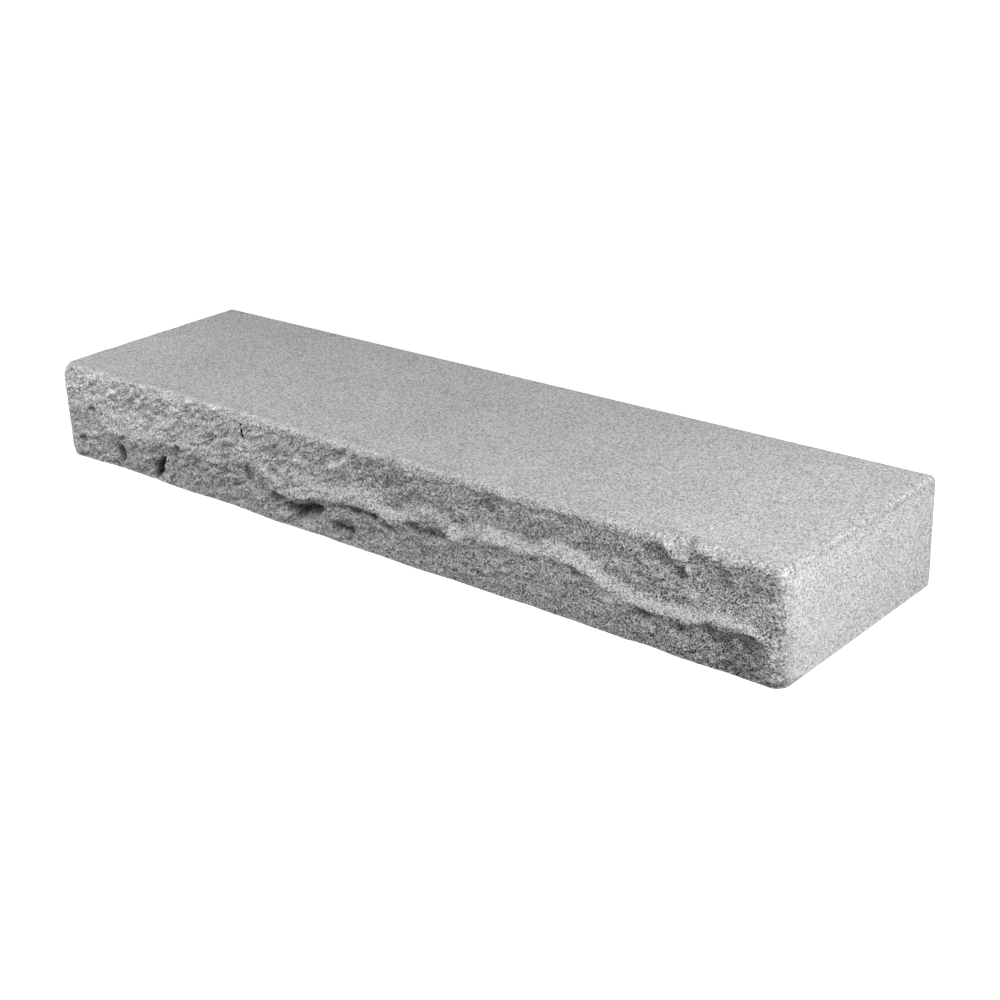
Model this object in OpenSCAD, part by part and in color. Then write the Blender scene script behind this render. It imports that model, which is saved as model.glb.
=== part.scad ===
// Granite block step: one piece of stone, flamed on the tread and the ends,
// sawn on the bed and the back, and pitched by hand along the riser.
// X runs along the step, +Y towards the sawn back, Z up.
// The origin is at the middle of the bed. All sizes are in millimetres.

/* [Block] */
// Length of the step
length = 1300; // [600:10:2400]
// Depth of the tread, from the sawn back to the pitched line
tread_depth = 350; // [250:5:500]
// Height of the step
rise = 150; // [120:5:200]

/* [Arrises] */
// Radius of the worn nosing, where tread and riser meet
nosing_radius = 9; // [4:1:16]
// Radius of the arris along each end of the tread
end_radius = 5; // [3:1:14]
// Radius of the upright arris at each end of the riser
corner_radius = 3; // [2:1:16]
// Radius of the upright arris at each end of the back
back_corner_radius = 2; // [2:1:20]
// Radius of the arris between tread and back
back_radius = 2; // [1:0.5:6]
// How much rounder the upright arrises are at the bed
foot_rounding = 2; // [1:0.1:2.5]
// Depth of the deepest chip in the nosing
chip_depth = 15; // [0:1:16]

/* [Pitched riser] */
// How far the ledge stands out past the pitched line
ledge_proud = 5; // [0:1:12]
// Depth of the break close under the ledge, where it is deepest
undercut_depth = 8; // [2:1:24]
// How far the foot falls back behind the pitched line, where it is furthest back
foot_depth = 7; // [0:1:14]
// Depth of the scoop between the ledge and the nosing
scoop_depth = 12; // [2:1:18]
// How far the nosing falls back behind the pitched line
nosing_fall = 2; // [0:1:12]
// Depth of the deepest punch marks and hollows
hollow_depth = 20; // [0:1:22]
// Height of the coarse lumps of the break
lump_height = 1.6; // [0:0.2:4]
// Height of the small facets of the break
facet_height = 1.6; // [0:0.1:2]
// Height of the slanting sheets that the break runs in
sheet_height = 1.6; // [0:0.2:4]
// Slope of those sheets, in degrees from level
sheet_slope = 38; // [0:1:60]
// How far the ledge wanders up and down from facet to facet
ledge_wander = 3; // [0:0.5:8]
// Number that picks the pattern of the break
break_seed = 11; // [1:1:99]

/* [Fineness] */
// Spacing of the cross-sections along the step
station_pitch = 8; // [8:1:25]

/* [Hidden] */

// Rows of points up the riser: below the ledge, above it, and round the nosing
toe_rows = 9;
scoop_rows = 14;
nosing_rows = 4;

// Paths along the riser. The first number is the place along the step, from -1 at
// the left end to 1 at the right. The second is a share of the size that it drives.
// Height of the ledge, as a share of the rise
LEDGE_PATH = [
    [-1, 0.50], [-0.94, 0.50], [-0.90, 0.54], [-0.86, 0.38], [-0.81, 0.38], [-0.78, 0.40],
    [-0.71, 0.34], [-0.66, 0.43], [-0.61, 0.47], [-0.54, 0.42], [-0.45, 0.39], [-0.42, 0.46],
    [-0.35, 0.48], [-0.30, 0.35], [-0.24, 0.32], [-0.18, 0.35], [-0.13, 0.41], [-0.06, 0.43],
    [0.01, 0.44], [0.065, 0.37], [0.11, 0.45], [0.17, 0.50], [0.21, 0.47], [0.235, 0.40],
    [0.28, 0.45], [0.33, 0.50], [0.40, 0.48], [0.45, 0.52], [0.53, 0.52], [0.58, 0.47],
    [0.62, 0.39], [0.68, 0.33], [0.81, 0.34], [0.85, 0.39], [0.93, 0.41], [0.96, 0.34], [1, 0.24]
];
// How far the ledge stands out past the pitched line, as a share of ledge_proud
PROUD_PATH = [
    [-1, 0], [-0.85, 0.30], [-0.66, 0.60], [-0.45, 0.30], [-0.30, 0.50], [-0.18, 0.90],
    [-0.05, 0.80], [0.065, 0.90], [0.17, 0.50], [0.235, 0.80], [0.33, 0.70], [0.45, 0.60],
    [0.55, 0.95], [0.67, 0.80], [0.80, 0.80], [0.93, 0.50], [1, 0]
];
// Depth of the break close under the ledge, as a share of undercut_depth
UNDERCUT_PATH = [
    [-1, 0], [-0.96, 0.10], [-0.90, 0.50], [-0.76, 0.60], [-0.62, 0.80], [-0.52, 0.60],
    [-0.38, 0.80], [-0.28, 0.90], [-0.17, 1], [-0.09, 0.90], [0, 1], [0.08, 0.80],
    [0.18, 0.90], [0.24, 0.50], [0.38, 0.35], [0.46, 0.20], [0.54, 0.40], [0.66, 0.50],
    [0.72, 1], [0.82, 0.90], [0.92, 0.80], [0.97, 0.25], [1, 0]
];
// How far the foot falls back, as a share of foot_depth, less than zero where it
// stands out past the pitched line
FOOT_PATH = [
    [-1, 0.10], [-0.92, 0.25], [-0.86, 0.85], [-0.79, 0.95], [-0.70, 0.70], [-0.59, 0.35],
    [-0.52, 0.60], [-0.46, 0.75], [-0.38, 0.45], [-0.26, 0], [-0.15, 0.50], [-0.09, 0],
    [0.03, 0.20], [0.10, -0.10], [0.15, -0.10], [0.22, 0.25], [0.37, 0], [0.43, 0.35],
    [0.50, 0.10], [0.62, 0], [0.65, -0.20], [0.71, 0.20], [0.77, -0.30], [0.89, -0.10],
    [0.95, -0.30], [1, -0.30]
];
// Depth of the scoop above the ledge, as a share of scoop_depth
SCOOP_PATH = [
    [-1, 0], [-0.90, 0.35], [-0.60, 0.45], [-0.45, 0.45], [-0.25, 0.50], [-0.12, 0.80],
    [0, 0.90], [0.15, 0.75], [0.33, 0.80], [0.42, 0.65], [0.54, 1], [0.66, 0.65], [0.74, 0.70],
    [0.90, 0.50], [1, 0.20]
];
// Height that the slope above the ledge takes, as a share of the rise
SLOPE_PATH = [
    [-1, 0.45], [-0.60, 0.40], [-0.30, 0.33], [-0.10, 0.20], [0.08, 0.13], [0.30, 0.12],
    [0.42, 0.10], [0.54, 0.15], [0.65, 0.09], [0.85, 0.08], [1, 0.08]
];
// How much of the scoop's depth is kept close under the nosing
OVERHANG_PATH = [
    [-1, 0], [-0.70, 0], [-0.30, 0.05], [-0.16, 0.15], [-0.06, 0.45], [0.03, 0.50],
    [0.10, 0.30], [0.20, 0.20], [0.31, 0.50], [0.38, 0.30], [0.48, 0.35], [0.60, 0.30],
    [0.68, 0.20], [0.75, 0.70], [0.85, 0.60], [0.93, 0.50], [1, 0.10]
];
// How far the nosing falls back, as a share of nosing_fall
FALL_PATH = [
    [-1, 0], [-0.95, 0.50], [-0.88, 0.85], [-0.70, 0.85], [-0.50, 0.60], [-0.30, 0.35],
    [-0.10, 0.20], [0.10, 0.10], [0.35, 0.20], [0.60, 0.15], [0.85, 0.25], [1, 0]
];
// Chips in the nosing: place along the step, half length measured the same way, and
// depth as a share of chip_depth
CHIPS = [
    [0.773, 0.038, 1], [0.862, 0.036, 0.4], [0.38, 0.026, 0.2], [0.11, 0.022, 0.2],
    [-0.03, 0.030, 0.2], [-0.35, 0.030, 0.2], [-0.62, 0.038, 0.3], [-1, 0.020, 0.4], [1, 0.018, 0.2]
];
// Hollows and bosses: place along the step, height as a share of the rise, half length
// and half width in shares of the rise, slope of the long axis in degrees from level,
// depth as a share of hollow_depth, less than zero where the stone stands out
HOLLOWS = [
    [-0.20, 0.17, 0.30, 0.105, 17, 1], [-0.27, 0.24, 0.11, 0.075, 10, 0.35],
    [-0.68, 0.14, 0.16, 0.05, 60, 0.6], [-0.632, 0.14, 0.18, 0.06, 78, -0.18],
    [-0.822, 0.15, 0.13, 0.08, 85, 0.7], [-0.60, 0.40, 0.07, 0.06, 0, 0.25],
    [-0.91, 0.54, 0.10, 0.07, 0, 0.2], [-0.955, 0.19, 0.09, 0.06, 0, 0.25],
    [-0.437, 0.42, 0.24, 0.06, 84, 0.25], [-0.37, 0.38, 0.13, 0.08, 80, 0.2],
    [-0.097, 0.14, 0.08, 0.065, 0, 0.45], [-0.06, 0.12, 0.11, 0.07, 0, 0.6],
    [-0.04, 0.365, 0.18, 0.065, 5, 0.35], [0.015, 0.37, 0.10, 0.06, -10, 0.3],
    [-0.055, 0.52, 0.17, 0.09, 35, -0.2], [0.057, 0.29, 0.07, 0.06, 0, 0.2],
    [0.12, 0.38, 0.09, 0.06, 20, 0.3], [0.165, 0.36, 0.09, 0.07, 0, 0.25],
    [0.205, 0.38, 0.09, 0.07, -40, 0.3], [0.335, 0.50, 0.12, 0.08, 0, -0.15],
    [0.54, 0.43, 0.09, 0.06, -20, 0.25], [0.70, 0.26, 0.09, 0.065, -15, 0.4],
    [0.780, 0.23, 0.10, 0.06, 5, 0.35], [0.845, 0.31, 0.10, 0.06, -20, 0.4],
    [0.915, 0.27, 0.13, 0.06, -32, 0.4], [0.775, 0.66, 0.14, 0.06, 80, 0.2]
];

// The box round the stone is centred on the origin
overall_depth = tread_depth + ledge_proud;
pitched_y = ledge_proud - overall_depth / 2;
back_y = overall_depth / 2;
half_length = length / 2;

// The break falls back by this share of the undercut close under the lip of the ledge
lip_height = 0.08 * rise;
lip_share = 0.45;
// Height of the overhang under the nosing, and of the part above the slope where the
// scoop closes to it
brow_height = 0.09 * rise;
closing_height = 0.25 * rise;
// Distance between the ledge and the row of points below it
lip_gap = 0.02 * rise;
// The break never draws back further than this from the pitched line
deepest_break = 0.2 * rise;

// The break is calmer towards the ends, the nosing and the foot, and below the ledge.
// Length or height over which it calms, and share of its roughness that is left
calm_length = 25;
end_share = 0.1;
fade_height = 0.24 * rise;
nosing_share = 0.3;
foot_height = 0.12 * rise;
foot_share = 0.4;
toe_share = 0.6;

STONE = [0.68, 0.68, 0.69];

function clamp(v, low, high) = max(low, min(high, v));
function smooth(t) = let (s = clamp(t, 0, 1)) s * s * (3 - 2 * s);
function ease(low, t) = low + (1 - low) * smooth(t);
function along(x, path) = lookup(x / half_length, path);

// How far a rounded edge of radius r draws back at distance d from the end
function draw_back(d, r) = d >= r ? 0 : r - sqrt(max(0, r * r - pow(r - d, 2)));

// Random heights on a lattice that repeats, and the height between its points
lattice_columns = 48;
lattice_rows = 16;
function lattice(seed) = [for (i = [1:lattice_columns]) rands(-1, 1, lattice_rows, seed * 1000 + i)];
function wrap(i, n) = ((i % n) + n) % n;
function height_in(grid, u, v) =
    let (
        i = wrap(floor(u), lattice_columns),
        j = wrap(floor(v), lattice_rows),
        i_next = wrap(i + 1, lattice_columns),
        j_next = wrap(j + 1, lattice_rows),
        a = smooth(u - floor(u)),
        b = smooth(v - floor(v))
    )
    (grid[i][j] * (1 - a) + grid[i_next][j] * a) * (1 - b)
    + (grid[i][j_next] * (1 - a) + grid[i_next][j_next] * a) * b;

lump_cell = 62;
facet_cell = 23;
sheet_length = 70;
sheet_width = 19;
LUMPS = lattice(break_seed);
FACETS = lattice(break_seed + 1);
SHEETS = lattice(break_seed + 2);
function break_height(x, z) =
    let (
        up_sheet = x * cos(sheet_slope) + z * sin(sheet_slope),
        across_sheet = z * cos(sheet_slope) - x * sin(sheet_slope)
    )
    lump_height * height_in(LUMPS, x / lump_cell, z / lump_cell)
    + facet_height * height_in(FACETS, x / facet_cell, z / facet_cell)
    + sheet_height * height_in(SHEETS, up_sheet / sheet_length, across_sheet / sheet_width);

// Share of the roughness of the break at height z, at distance d from the end
function rough_share(d, z, ledge, top) =
    ease(end_share, d / calm_length)
    * ease(nosing_share, (top - z) / fade_height)
    * ease(foot_share, z / foot_height)
    * ease(toe_share, (z - ledge) / lip_height);

// How deep one hollow is at a point of the riser: walls round a flat floor
wall_steepness = 1.6;
function hollow(p, x, z) =
    let (
        dx = (x - p[0] * half_length) / rise,
        dz = z / rise - p[1],
        run = dx * cos(p[4]) + dz * sin(p[4]),
        across = dz * cos(p[4]) - dx * sin(p[4])
    )
    p[5] * smooth(wall_steepness * (1 - norm([run / p[2], across / p[3]])));
function hollows(x, z) =
    let (depths = [for (p = HOLLOWS) hollow(p, x, z)])
    hollow_depth * (max(depths) + min(depths)) * ease(foot_share, z / foot_height);

// How far the nosing is chipped, from 0 where it is whole to 1 in the deepest chip
function chip_share(x) =
    max([for (c = CHIPS) c[2] * smooth(wall_steepness * (1 - abs(x / half_length - c[0]) / c[1]))]);

// How far the break stands out past the pitched line at height z
function break_out(x, z, ledge, top) =
    let (
        lip = ledge_proud * along(x, PROUD_PATH),
        undercut = undercut_depth * along(x, UNDERCUT_PATH),
        foot = foot_depth * along(x, FOOT_PATH),
        scoop = scoop_depth * along(x, SCOOP_PATH),
        slope = rise * along(x, SLOPE_PATH),
        overhang = along(x, OVERHANG_PATH),
        fall = nosing_fall * along(x, FALL_PATH),
        above = z - ledge,
        height = top - ledge,
        climb = smooth(above / slope),
        closing = max(closing_height, height - slope - brow_height),
        kept = 1 + (overhang - 1) * smooth(1 + (above - height + brow_height) / closing),
        brow = smooth((z - top + brow_height) / brow_height)
    )
    above >= 0
        ? lip * (1 - climb) - scoop * climb * kept * (1 - brow) - fall * above / height
        : (lip - undercut * lip_share * smooth(-above / lip_height)) * z / ledge
            - foot * (1 - z / ledge);

// Radius of the upright arris of the riser at height z
function corner_at(z) = corner_radius * (1 + (foot_rounding - 1) * smooth(1 - z / foot_height));

// Heights of the points of the riser: closer together at the ledge and at the nosing
function riser_heights(ledge, top) = concat(
    [for (k = [0:toe_rows - 1]) (ledge - lip_gap) * sin(90 * k / (toe_rows - 1))],
    [for (k = [0:scoop_rows - 1])
        let (t = k / (scoop_rows - 1))
        ledge + (top - ledge) * (t / 2 + (1 - cos(180 * t)) / 4)]
);

// Depth of the riser's surface at height z: less is further out
function riser_y(x, z, d, ledge, top) =
    let (
        out = break_out(x, z, ledge, top)
            + rough_share(d, z, ledge, top) * break_height(x, z)
            - hollows(x, z)
    )
    pitched_y - clamp(out, -deepest_break, ledge_proud) + draw_back(d, corner_at(z));

// One cross-section, as a closed loop of points that starts at the toe of the riser
function section(x) =
    let (
        d = half_length - abs(x),
        drop = draw_back(d, end_radius),
        chip = chip_share(x),
        r = nosing_radius + chip_depth * chip,
        top = rise - drop - r,
        ledge = rise * along(x, LEDGE_PATH) + ledge_wander * height_in(FACETS, x / facet_cell, 0.5),
        brow_y = riser_y(x, top, d, ledge, top),
        back = back_y - draw_back(d, back_corner_radius),
        back_foot = back_y - draw_back(d, back_corner_radius * foot_rounding)
    )
    concat(
        [for (z = riser_heights(ledge, top)) [x, riser_y(x, z, d, ledge, top), z]],
        // a round where the nosing is whole, a flat where it is chipped
        [for (k = [1:nosing_rows])
            let (t = k / nosing_rows)
            [x,
             brow_y + r * ((1 - cos(90 * t)) * (1 - chip) + t * chip),
             top + r * (sin(90 * t) * (1 - chip) + t * chip)]],
        [
            [x, back - back_radius, rise - drop],
            [x, back, rise - drop - back_radius],
            [x, back, foot_height],
            [x, back_foot, 0]
        ]
    );

// Stations along the step: even between the ends, and closer round the end arrises
rim_turn = 15;
rim = max(end_radius, corner_radius, back_corner_radius) * foot_rounding;
rim_steps = [for (a = [0:rim_turn:90]) rim * (1 - cos(a))];
inner_count = ceil((length - 2 * rim) / station_pitch);
STATIONS = concat(
    [for (s = rim_steps) -half_length + s],
    [for (i = [1:inner_count - 1]) -half_length + rim + i * (length - 2 * rim) / inner_count],
    [for (k = [len(rim_steps) - 1:-1:0]) half_length - rim_steps[k]]
);

module granite_step() {
    loops = [for (x = STATIONS) section(x)];
    n = len(loops[0]);
    last = len(loops) - 1;
    points = concat(
        [for (loop = loops) each loop],
        [[-half_length, 0, rise / 2], [half_length, 0, rise / 2]]
    );
    left_centre = len(points) - 2;
    right_centre = len(points) - 1;
    skin = [for (i = [0:last - 1], k = [0:n - 1])
        let (a = i * n + k, b = i * n + (k + 1) % n, c = b + n, d = a + n)
        each ((i + k) % 2 == 0 ? [[a, b, d], [b, c, d]] : [[a, b, c], [a, c, d]])];
    left_end = [for (k = [0:n - 1]) [left_centre, (k + 1) % n, k]];
    right_end = [for (k = [0:n - 1]) [right_centre, last * n + k, last * n + (k + 1) % n]];
    color(STONE) polyhedron(points = points, faces = concat(skin, left_end, right_end));
}

granite_step();
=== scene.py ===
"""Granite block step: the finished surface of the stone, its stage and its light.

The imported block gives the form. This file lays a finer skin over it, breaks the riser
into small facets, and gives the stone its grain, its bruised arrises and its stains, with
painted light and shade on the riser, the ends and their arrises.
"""

import math

import bpy
import numpy as np
from bpy.props import (
    FloatProperty,
    FloatVectorProperty,
    IntProperty,
    PointerProperty,
)
from bpy.types import Operator, Panel, PropertyGroup
from mathutils import Matrix, Vector, noise
from mathutils.bvhtree import BVHTree
from mathutils.geometry import delaunay_2d_cdt


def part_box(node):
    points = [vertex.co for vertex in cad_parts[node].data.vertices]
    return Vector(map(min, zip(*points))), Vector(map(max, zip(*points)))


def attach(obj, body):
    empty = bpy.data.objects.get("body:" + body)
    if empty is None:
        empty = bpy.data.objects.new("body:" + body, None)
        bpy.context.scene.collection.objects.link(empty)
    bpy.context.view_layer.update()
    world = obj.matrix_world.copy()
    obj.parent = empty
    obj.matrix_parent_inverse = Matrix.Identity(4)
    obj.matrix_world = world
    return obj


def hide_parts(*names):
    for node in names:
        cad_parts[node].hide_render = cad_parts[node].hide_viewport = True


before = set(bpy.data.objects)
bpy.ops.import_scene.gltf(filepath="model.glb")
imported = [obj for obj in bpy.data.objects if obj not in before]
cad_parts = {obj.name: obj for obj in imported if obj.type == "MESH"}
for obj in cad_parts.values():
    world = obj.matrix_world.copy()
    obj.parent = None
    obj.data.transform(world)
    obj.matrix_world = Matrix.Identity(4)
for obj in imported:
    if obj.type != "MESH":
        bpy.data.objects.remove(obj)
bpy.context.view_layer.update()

bl_info = {
    "name": "Granite Block Step",
    "version": (1, 0, 0),
    "blender": (4, 5, 0),
    "location": "3D View > Sidebar > Granite Step",
    "description": "Dresses a granite block step and sets up its stage",
    "category": "Object",
}

NODE = "granite_step"
BODY = "root"
BLOCK_LOW, BLOCK_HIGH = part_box(NODE)
MM = 0.001

# Rays start or end this far inside the block's outer planes, to be sure of a hit
INSET = 0.02 * MM
# How far a hollow of the riser may reach behind the start of a level ray
DEEPEST_HOLLOW = 30 * MM
# First and last spacing of the rows on the tread, from the nosing to the back
TREAD_SPACING = (3 * MM, 24 * MM)
# Directions of the rays round the back arris, in degrees from straight up
BACK_ARRIS_ANGLES = (0, 15, 27, 35, 45, 55, 63, 75, 90)
BACK_ROWS = 10
BED_ROWS = 10
CAP_SPACING = 9 * MM
# How far the wear of the riser's ends reaches
END_WEAR = 16 * MM
# Between these heights, in millimetres, the ledge is what stands out most
LEDGE_HEIGHTS = (35, 100)
# What near_end is on the ends themselves. It falls to 0 away from them.
CAP_NEAR_END = 1.5
# How much darker the stone is where its painted shade and stains are 1. Below 0 they are painted
# light, and the stone is paler
SHADE_DEPTH = 0.16
# Start of the random shifts that make the outlines of cuts, stains and spots of painted
# light ragged. Without it Blender takes the time of day, and the shifts differ from run to run.
RAGGED_SEED = 7

# The lengths of the break that go into its geometry nodes
BREAK_LENGTHS = ("lump_size", "lump_height", "facet_size", "facet_height",
                 "crystal_size", "crystal_height", "wear_size", "wear_height")
SHEET_SLANT = math.radians(24)
SHARD_TILT = 2.6

# How far each finish bleaches the grain. A share under 0 brings the grain out.
BLEACH = {"flamed": 0.35, "end": 0.44, "arris": 0.25, "bruise_and_painted_light": 0.3,
          "break_left": -0.18, "break_right": -0.55}
# How bright each finish is. The ends are painted brighter than the tread, as painted light of
# the lamp beyond the right end, and the arris at an end is darkened by painted shade that
# takes away its highlight
TONE = {"flamed": 0.995, "end": 1.185, "break": 1.12, "arris_painted_shade_tread": 0.81, "arris_painted_shade_riser": 0.72}
# Slow changes of the stone's colour, as places on a noise and factors
CLOUD = ((0.3, (0.95, 0.95, 0.95)), (0.7, (1.05, 1.05, 1.05)))
TINT = ((0.34, (0.985, 0.998, 1.01)), (0.46, (1.0, 1.0, 1.0)),
        (0.54, (1.0, 1.0, 1.0)), (0.66, (1.018, 0.99, 1.0)))
BREAK_TINT = (1.004, 0.998, 1.003, 1.0)
END_TINT = (0.989, 1.0, 1.0095, 1.0)

FLOOR_HALF = 6.0
# Name, place, target and side of each lamp, in metres
LAMPS = (
    ("key_lamp", (1.48, -0.35, 0.93), (0.25, -0.05, 0.08), 1.3),
    ("front_lamp", (-0.81, -0.90, 0.92), (0.0, 0.0, 0.0), 1.6),
    ("back_lamp", (0.0, 2.2, 0.36), (0.0, 0.175, 0.1), 0.7),
)


# ---------------------------------------------------------------- settings


class SkinSettings(PropertyGroup):
    """How finely the skin is laid over the block."""

    spacing: FloatProperty(
        name="Spacing",
        description="Distance between points along the step and up the riser",
        default=2.0 * MM, min=1.5 * MM, max=10 * MM, precision=4, unit="LENGTH",
    )
    nosing_reach: FloatProperty(
        name="Nosing Reach",
        description="How far the finely divided band round the nosing reaches from its corner",
        default=28 * MM, min=20 * MM, max=60 * MM, precision=4, unit="LENGTH",
    )
    back_reach: FloatProperty(
        name="Back Reach",
        description="How far the band round the back arris reaches from its corner",
        default=18 * MM, min=15 * MM, max=40 * MM, precision=4, unit="LENGTH",
    )
    softening: FloatProperty(
        name="Softening",
        description="Distance over which the flats of the block's riser are blended together",
        default=2.5 * MM, min=0, max=12 * MM, precision=4, unit="LENGTH",
    )


class BreakSettings(PropertyGroup):
    """The relief that the pitching tool and the break leave on the riser."""

    lump_size: FloatProperty(
        name="Lump Size", description="Width of the swells and hollows of the break",
        default=34 * MM, min=5 * MM, max=0.2, precision=4, unit="LENGTH",
    )
    lump_height: FloatProperty(
        name="Lump Height", description="Height of the swells and hollows",
        default=2.0 * MM, min=0, max=10 * MM, precision=4, unit="LENGTH",
    )
    facet_size: FloatProperty(
        name="Facet Size", description="Width of the angular facets",
        default=15 * MM, min=3 * MM, max=0.1, precision=4, unit="LENGTH",
    )
    facet_height: FloatProperty(
        name="Facet Height", description="Height of the angular facets",
        default=2.0 * MM, min=0, max=6 * MM, precision=4, unit="LENGTH",
    )
    crystal_size: FloatProperty(
        name="Crystal Size", description="Width of the crystals that stand out of the break",
        default=5.5 * MM, min=2 * MM, max=0.05, precision=4, unit="LENGTH",
    )
    crystal_height: FloatProperty(
        name="Crystal Height", description="How far the crystals stand out",
        default=1.3 * MM, min=0, max=4 * MM, precision=4, unit="LENGTH",
    )
    wear_size: FloatProperty(
        name="Wear Size", description="Length of the dips and bumps along the arrises",
        default=18 * MM, min=5 * MM, max=0.2, precision=4, unit="LENGTH",
    )
    wear_height: FloatProperty(
        name="Wear Height", description="Depth of the dips along the arrises",
        default=1.2 * MM, min=0, max=5 * MM, precision=4, unit="LENGTH",
    )
    seed: IntProperty(
        name="Seed", description="Picks the pattern of the break", default=7, min=0, max=999,
    )


class StoneSettings(PropertyGroup):
    """The minerals of the stone and how each finish shows them."""

    grain_size: FloatProperty(
        name="Grain Size", description="Width of one mineral grain",
        default=1.6 * MM, min=0.5 * MM, max=20 * MM, precision=4, unit="LENGTH",
    )
    feldspar: FloatVectorProperty(
        name="Feldspar", description="Colour of the palest grains",
        default=(0.77, 0.77, 0.767), subtype="COLOR", min=0, max=1,
    )
    stone: FloatVectorProperty(
        name="Stone", description="Middle colour of the stone",
        default=(0.573, 0.57, 0.57), subtype="COLOR", min=0, max=1,
    )
    quartz: FloatVectorProperty(
        name="Quartz", description="Colour of the grey grains",
        default=(0.15, 0.15, 0.153), subtype="COLOR", min=0, max=1,
    )
    mica: FloatVectorProperty(
        name="Mica", description="Colour of the dark grains",
        default=(0.012, 0.012, 0.013), subtype="COLOR", min=0, max=1,
    )


class StageSettings(PropertyGroup):
    """Camera, floor and lamps."""

    lens: FloatProperty(
        name="Lens", description="Focal length on a 36 mm sensor, in millimetres",
        default=64.77, min=10, max=300,
    )
    azimuth: FloatProperty(
        name="Azimuth", description="Turn of the camera round the block, from the riser's front",
        default=math.radians(40.90), subtype="ANGLE",
    )
    elevation: FloatProperty(
        name="Elevation", description="Height angle of the camera",
        default=math.radians(22.64), subtype="ANGLE",
    )
    roll: FloatProperty(
        name="Roll", description="Lean of the camera",
        default=math.radians(-2.098), subtype="ANGLE",
    )
    distance: FloatProperty(
        name="Distance", description="Distance from the camera to the point that it looks at",
        default=2.406, min=0.5, max=20, unit="LENGTH",
    )
    aim: FloatVectorProperty(
        name="Aim", description="Point that the camera looks at",
        default=(0.1398, -0.0632, 0.075), subtype="XYZ", unit="LENGTH",
    )
    floor: FloatVectorProperty(
        name="Floor", description="Colour of the floor as it is seen",
        default=(0.6, 0.6, 0.6), subtype="COLOR", min=0, max=1,
    )
    floor_glow: FloatVectorProperty(
        name="Floor Bounce", description="Colour of the floor in the light that it throws back",
        default=(0.22, 0.22, 0.22), subtype="COLOR", min=0, max=1,
    )
    sky_level: FloatProperty(
        name="Sky Level", description="Brightness of the even light from all round",
        default=0.13, min=0, max=5,
    )
    key_power: FloatProperty(
        name="Key Power", description="Power of the soft lamp beyond the right end",
        default=32, min=0, max=1000, unit="POWER",
    )
    front_power: FloatProperty(
        name="Front Power", description="Power of the soft lamp over the left of the riser",
        default=22, min=0, max=1000, unit="POWER",
    )
    back_power: FloatProperty(
        name="Back Power", description="Power of the soft lamp behind the block",
        default=11, min=0, max=1000, unit="POWER",
    )


# The one thin tool mark in the riser, from its upper to its lower end, in millimetres
TOOL_MARK = ((-246, -174, 134), (-243, -174, 115))
TOOL_MARK_WIDTH = 2.2

# Cuts that the punch and the break left in the riser, in millimetres: place along the
# step, height, half length, half width, slope of the long axis in degrees, depth. A depth
# under zero is a ridge.
CUTS = (
    (-154, 24, 22, 11, 14, 20), (-113, 35, 26, 9, 20, 18), (-95, 43, 12, 5, 10, 5),
    (-186, 33, 14, 10, 30, 7), (-174, 20, 16, 5, 5, 7), (-444, 25, 24, 7, 52, 14),
    (-432, 36, 13, 6.5, 25, 12), (-533, 25, 15, 8, 80, 9), (-66, 24, 9, 5.5, 20, 7),
    (-42, 20, 12, 5, -8, 8), (-54, 22, 14, 6, 0, 3), (-590, 82, 10, 7, 0, 3),
    (-628, 27, 9, 6, 0, 4), (-636, 62, 12, 6, 80, 2), (-390, 62, 8, 7, 0, 4),
    (-402, 52, 8, 6, 60, 3), (-290, 78, 20, 6, 82, 2.5), (-275, 36, 15, 4, 5, 4),
    (-240, 58, 20, 11, 80, 2.5), (-55, 54, 9, 5.5, 0, 4), (-28, 56, 17, 7, 5, 7),
    (3, 57, 15, 7, -5, 7), (37, 45, 8, 6, 0, 4), (84, 57, 22, 7, 6, 3.5),
    (118, 56, 22, 7, -6, 3.5), (350, 67, 11, 6, -10, 3), (288, 67, 7, 8, 0, 3),
    (240, 46, 9, 5, 0, 3), (455, 42, 12, 7, -15, 3), (475, 28, 11, 5, -75, 3),
    (511, 37, 14, 6, 5, 1.5), (528, 10, 15, 5, -5, 3), (574, 10, 11, 6, 0, 3),
    (505, 104, 15, 8, 80, 3), (442, 105, 10, 5, -60, 3), (198, 23, 6, 5, 0, 3),
    (157, 12, 9, 5, 0, 3), (208, 122, 18, 14, 60, 3), (-60, 110, 34, 5, 28, -3),
    (-102, 95, 26, 5, 30, -2.5), (-32, 90, 20, 5, 30, -2.5), (12, 112, 22, 2, 36, -1.5),
    (-120, 53, 40, 5, 14, -2.5), (-45, 70, 16, 9, 35, -3), (-414, 18, 18, 5, 70, -3),
    (506, 113, 13, 8, -40, -3),
)
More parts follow.
